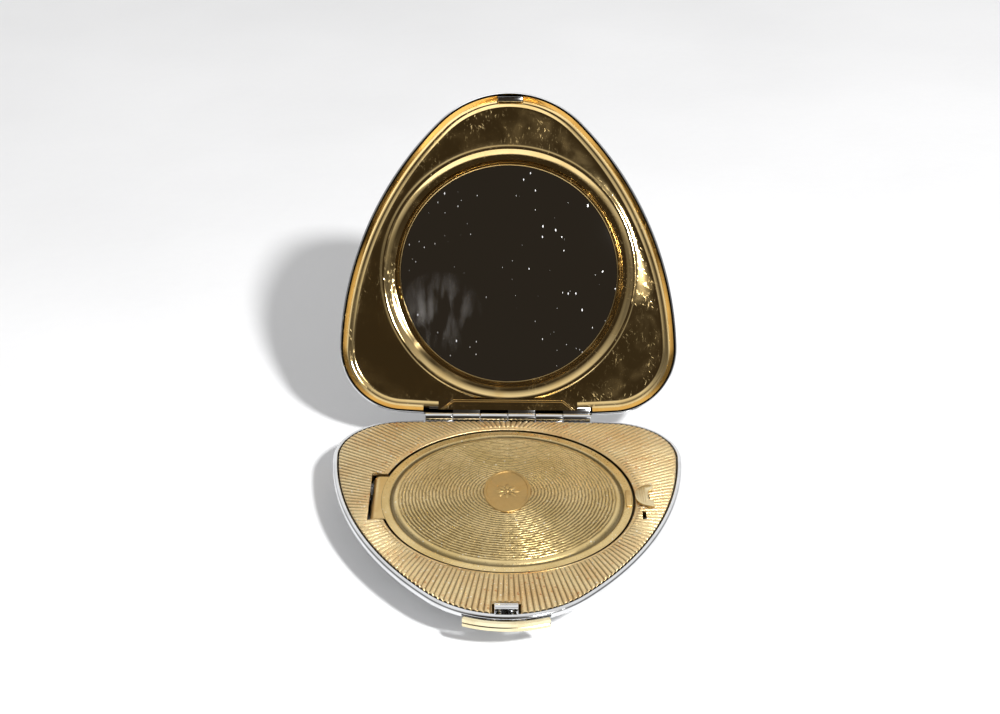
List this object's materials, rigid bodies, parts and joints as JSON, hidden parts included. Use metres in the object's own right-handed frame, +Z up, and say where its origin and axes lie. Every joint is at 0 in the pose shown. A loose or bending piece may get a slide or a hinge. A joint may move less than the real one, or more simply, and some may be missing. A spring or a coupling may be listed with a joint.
{
  "type": "powder compact",
  "caption": "Rounded triangular metal powder compact with a hinged mirror lid, a hinged inner lid over a round powder well, a sifter, a thumb-button latch and a sliding catch.",
  "frame": {"origin": "middle of the flat underside of the base, which rests on z = 0", "axes": "+Z up, out of the base; +X towards the catch of the inner lid, on the user's right; +Y towards the lid hinge, so the thumb button faces -Y; the lid is open by 122 degrees"},
  "size_m": [0.08, 0.1226, 0.0745],
  "materials": {
    "chrome": "polished plating, finely scratched",
    "gilt": "polished gilt",
    "satin_gilt": "satin gilt, fluted, with tarnish specks",
    "brass": "satin, engine turned",
    "pale_gilt": "pale, smooth",
    "steel": "drawn wire and rod",
    "mirror": "silvered glass, dusty",
    "card": "grey board",
    "gauze": "fine open weave"
  },
  "bodies": {
    "base": {"base_shell": "chrome", "deck_plate": "satin_gilt", "powder_well": "brass", "base_hinge_leaf": "chrome", "hinge_pin": "steel", "inner_lid_bracket": "brass", "inner_lid_pin": "steel", "latch_bracket": "brass", "latch_spring": "steel", "catch_guide": "brass", "catch_spring": "steel"},
    "lid": {"lid_shell": "chrome", "lid_lining": "gilt", "mirror_backing": "card", "mirror_glass": "mirror", "mirror_ring": "gilt", "lid_hinge_leaf": "chrome", "hinge_cover_plate": "gilt", "strike_plate": "chrome"},
    "latch": {"thumb_button": "pale_gilt", "latch_hook": "chrome"},
    "inner_lid": {"inner_lid": "brass"},
    "catch": {"catch_thumbpiece": "pale_gilt", "catch_slider": "brass"},
    "sifter": {"sifter_ring": "brass", "sifter_gauze": "gauze"}
  },
  "joints": [
    {"name": "lid_hinge", "type": "hinge", "parent": "base", "child": "lid", "pos_m": [0, 0.03885, 0.009], "axis": [-1, 0, 0], "range_deg": [-122, 0]},
    {"name": "inner_lid_hinge", "type": "hinge", "parent": "base", "child": "inner_lid", "pos_m": [-0.0286, 0.00485, 0.0074], "axis": [0, -1, 0], "range_deg": [0, 95]},
    {"name": "latch_press", "type": "slide", "parent": "base", "child": "latch", "axis": [0, 1, 0], "range_m": [0, 0.0008], "stiffness_N_per_m": 400, "springref_m": -0.001, "deforming": ["latch_spring"]},
    {"name": "catch_slide", "type": "slide", "parent": "base", "child": "catch", "axis": [1, 0, 0], "range_m": [0, 0.0012], "stiffness_N_per_m": 400, "springref_m": -0.001, "deforming": ["catch_spring"]},
    {"name": "sifter_turn", "type": "hinge", "parent": "base", "child": "sifter", "pos_m": [0, 0.00485, 0.0042], "axis": [0, 0, 1], "continuous": true}
  ]
}
